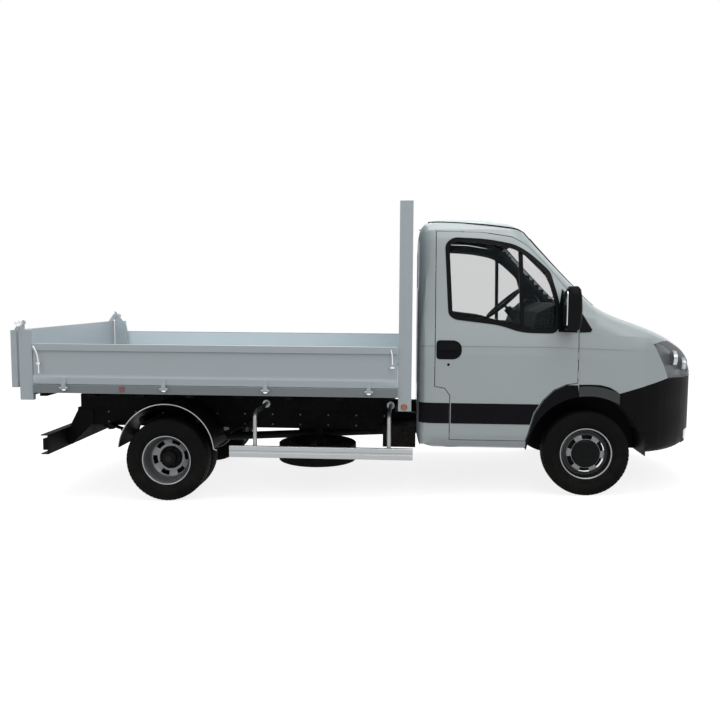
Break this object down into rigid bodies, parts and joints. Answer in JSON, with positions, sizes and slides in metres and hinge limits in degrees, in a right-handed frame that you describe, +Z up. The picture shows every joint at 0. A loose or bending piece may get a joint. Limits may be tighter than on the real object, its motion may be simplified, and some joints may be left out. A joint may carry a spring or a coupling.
{
  "type": "tipping dropside truck",
  "caption": "Light single-cab tipping truck with dropside bed, hinged tailgate, telescopic ram, opening doors and bonnet, steered front wheels and twin rear wheels.",
  "frame": {"origin": "on the ground under the middle of the truck", "axes": "+X forward, +Y to the left, +Z up"},
  "size_m": [5.7104, 2.46, 2.4075],
  "materials": {
    "white_paint": "gloss",
    "bed_paint": "satin",
    "chassis_paint": "satin",
    "spring_steel": "matt",
    "engine_iron": "matt",
    "exhaust_steel": "dull",
    "galvanised": "satin",
    "rim_steel": "satin",
    "ram_paint": "satin",
    "chromed_rod": "polished",
    "tyre_rubber": "matt",
    "black_plastic": "grained",
    "dark_trim": "grained",
    "seat_cloth": "woven",
    "clear_glass": "clear",
    "lamp_lens": "clear",
    "red_lens": "gloss"
  },
  "bodies": {
    "chassis": {"chassis_rails": "chassis_paint", "crossmembers": "chassis_paint", "tipping_subframe": "chassis_paint", "underrun_beam": "chassis_paint", "front_suspension": "chassis_paint", "rear_axle": "chassis_paint", "leaf_springs": "spring_steel", "engine": "engine_iron", "propshaft": "spring_steel", "exhaust": "exhaust_steel", "fuel_tank": "black_plastic", "battery_box": "black_plastic", "spare_wheel": "tyre_rubber", "spare_carrier": "chassis_paint", "mudguards": "black_plastic", "guard_rails": "galvanised", "rear_lamps": "red_lens", "cab_floor": "dark_trim", "cab_rear_wall": "white_paint", "cab_roof": "white_paint", "cab_sides": "white_paint", "windscreen": "clear_glass", "rear_window": "clear_glass", "cowl": "black_plastic", "front_wings": "white_paint", "arch_flares": "black_plastic", "bumper": "black_plastic", "grille": "black_plastic", "headlamps": "lamp_lens", "dashboard": "dark_trim", "driver_seat": "seat_cloth", "passenger_bench": "seat_cloth"},
    "steering_wheel": {"steering_wheel": "black_plastic"},
    "door_right": {"door_right": "white_paint", "door_glass_right": "clear_glass", "mirror_right": "black_plastic"},
    "door_left": {"door_left": "white_paint", "door_glass_left": "clear_glass", "mirror_left": "black_plastic"},
    "bonnet": {"bonnet": "white_paint"},
    "knuckle_right": {"knuckle_right": "spring_steel"},
    "knuckle_left": {"knuckle_left": "spring_steel"},
    "front_wheel_right": {"front_tyre_right": "tyre_rubber", "front_rim_right": "rim_steel"},
    "front_wheel_left": {"front_tyre_left": "tyre_rubber", "front_rim_left": "rim_steel"},
    "rear_wheels_right": {"rear_tyres_right": "tyre_rubber", "rear_rims_right": "rim_steel"},
    "rear_wheels_left": {"rear_tyres_left": "tyre_rubber", "rear_rims_left": "rim_steel"},
    "bed": {"bed_floor": "bed_paint", "bed_bearers": "chassis_paint", "headboard": "bed_paint"},
    "side_board_right": {"side_board_right": "bed_paint"},
    "side_board_left": {"side_board_left": "bed_paint"},
    "tailgate": {"tailgate": "bed_paint"},
    "ram_barrel": {"ram_barrel": "ram_paint"},
    "ram_sleeve_1": {"ram_sleeve_1": "chromed_rod"},
    "ram_sleeve_2": {"ram_sleeve_2": "chromed_rod"},
    "ram_rod": {"ram_rod": "chromed_rod"}
  },
  "joints": [
    {"name": "door_right_swing", "type": "hinge", "parent": "chassis", "child": "door_right", "pos_m": [1.77566, -0.996, 1.08243], "axis": [0.0349, 0, 0.9994], "range_deg": [0, 68]},
    {"name": "door_left_swing", "type": "hinge", "parent": "chassis", "child": "door_left", "pos_m": [1.77566, 0.996, 1.08243], "axis": [-0.0349, 0, -0.9994], "range_deg": [0, 68]},
    {"name": "bonnet_lift", "type": "hinge", "parent": "chassis", "child": "bonnet", "pos_m": [2.07864, 0, 1.44908], "axis": [0, -1, 0], "range_deg": [0, 52]},
    {"name": "steer_left", "type": "hinge", "parent": "chassis", "child": "knuckle_left", "pos_m": [1.838, 0.735, 0.346], "axis": [0, 0, 1], "range_deg": [-35, 35]},
    {"name": "steer_right", "type": "hinge", "parent": "chassis", "child": "knuckle_right", "pos_m": [1.838, -0.735, 0.346], "axis": [0, 0, 1], "range_deg": [-35, 35]},
    {"name": "steering_wheel_turn", "type": "hinge", "parent": "chassis", "child": "steering_wheel", "pos_m": [1.35181, 0.4, 1.55251], "axis": [-0.6293, 0, 0.7771], "range_deg": [-525, 525]},
    {"name": "front_wheel_right_roll", "type": "hinge", "parent": "knuckle_right", "child": "front_wheel_right", "pos_m": [1.838, -0.877, 0.346], "axis": [0, 1, 0], "continuous": true},
    {"name": "front_wheel_left_roll", "type": "hinge", "parent": "knuckle_left", "child": "front_wheel_left", "pos_m": [1.838, 0.877, 0.346], "axis": [0, 1, 0], "continuous": true},
    {"name": "rear_wheels_right_roll", "type": "hinge", "parent": "chassis", "child": "rear_wheels_right", "pos_m": [-1.612, -0.89, 0.346], "axis": [0, 1, 0], "continuous": true},
    {"name": "rear_wheels_left_roll", "type": "hinge", "parent": "chassis", "child": "rear_wheels_left", "pos_m": [-1.612, 0.89, 0.346], "axis": [0, 1, 0], "continuous": true},
    {"name": "bed_tip", "type": "hinge", "parent": "chassis", "child": "bed", "pos_m": [-2.51166, 0, 0.88494], "axis": [0, -1, 0], "range_deg": [0, 45]},
    {"name": "side_board_right_drop", "type": "hinge", "parent": "bed", "child": "side_board_right", "pos_m": [-1.22141, -1.088, 0.94394], "axis": [0.9994, 0, -0.0349], "range_deg": [0, 178]},
    {"name": "side_board_left_drop", "type": "hinge", "parent": "bed", "child": "side_board_left", "pos_m": [-1.22141, 1.088, 0.94394], "axis": [-0.9994, 0, 0.0349], "range_deg": [0, 178]},
    {"name": "tailgate_swing", "type": "hinge", "parent": "bed", "child": "tailgate", "pos_m": [-2.75227, 0, 1.53073], "axis": [0, 1, 0], "range_deg": [0, 100]},
    {"name": "ram_lean", "type": "hinge", "parent": "chassis", "child": "ram_barrel", "pos_m": [-1.25689, 0.172, 0.35783], "axis": [0, -1, 0], "range_deg": [0, 22.5]},
    {"name": "ram_sleeve_1_slide", "type": "slide", "parent": "ram_barrel", "child": "ram_sleeve_1", "axis": [0.1959, 0, 0.9806], "range_m": [0, 0.32651]},
    {"name": "ram_sleeve_2_slide", "type": "slide", "parent": "ram_sleeve_1", "child": "ram_sleeve_2", "axis": [0.1959, 0, 0.9806], "range_m": [0, 0.32651]},
    {"name": "ram_rod_slide", "type": "slide", "parent": "ram_sleeve_2", "child": "ram_rod", "axis": [0.1959, 0, 0.9806], "range_m": [0, 0.32651]}
  ],
  "couplings": [
    {"joint": "steer_right", "follows": "steer_left", "ratio": 1},
    {"joint": "steering_wheel_turn", "follows": "steer_left", "ratio": 15},
    {"joint": "ram_lean", "follows": "bed_tip", "ratio": 0.5},
    {"joint": "ram_sleeve_1_slide", "follows": "bed_tip", "m_per_rad": 0.41572},
    {"joint": "ram_sleeve_2_slide", "follows": "bed_tip", "m_per_rad": 0.41572},
    {"joint": "ram_rod_slide", "follows": "bed_tip", "m_per_rad": 0.41572}
  ]
}
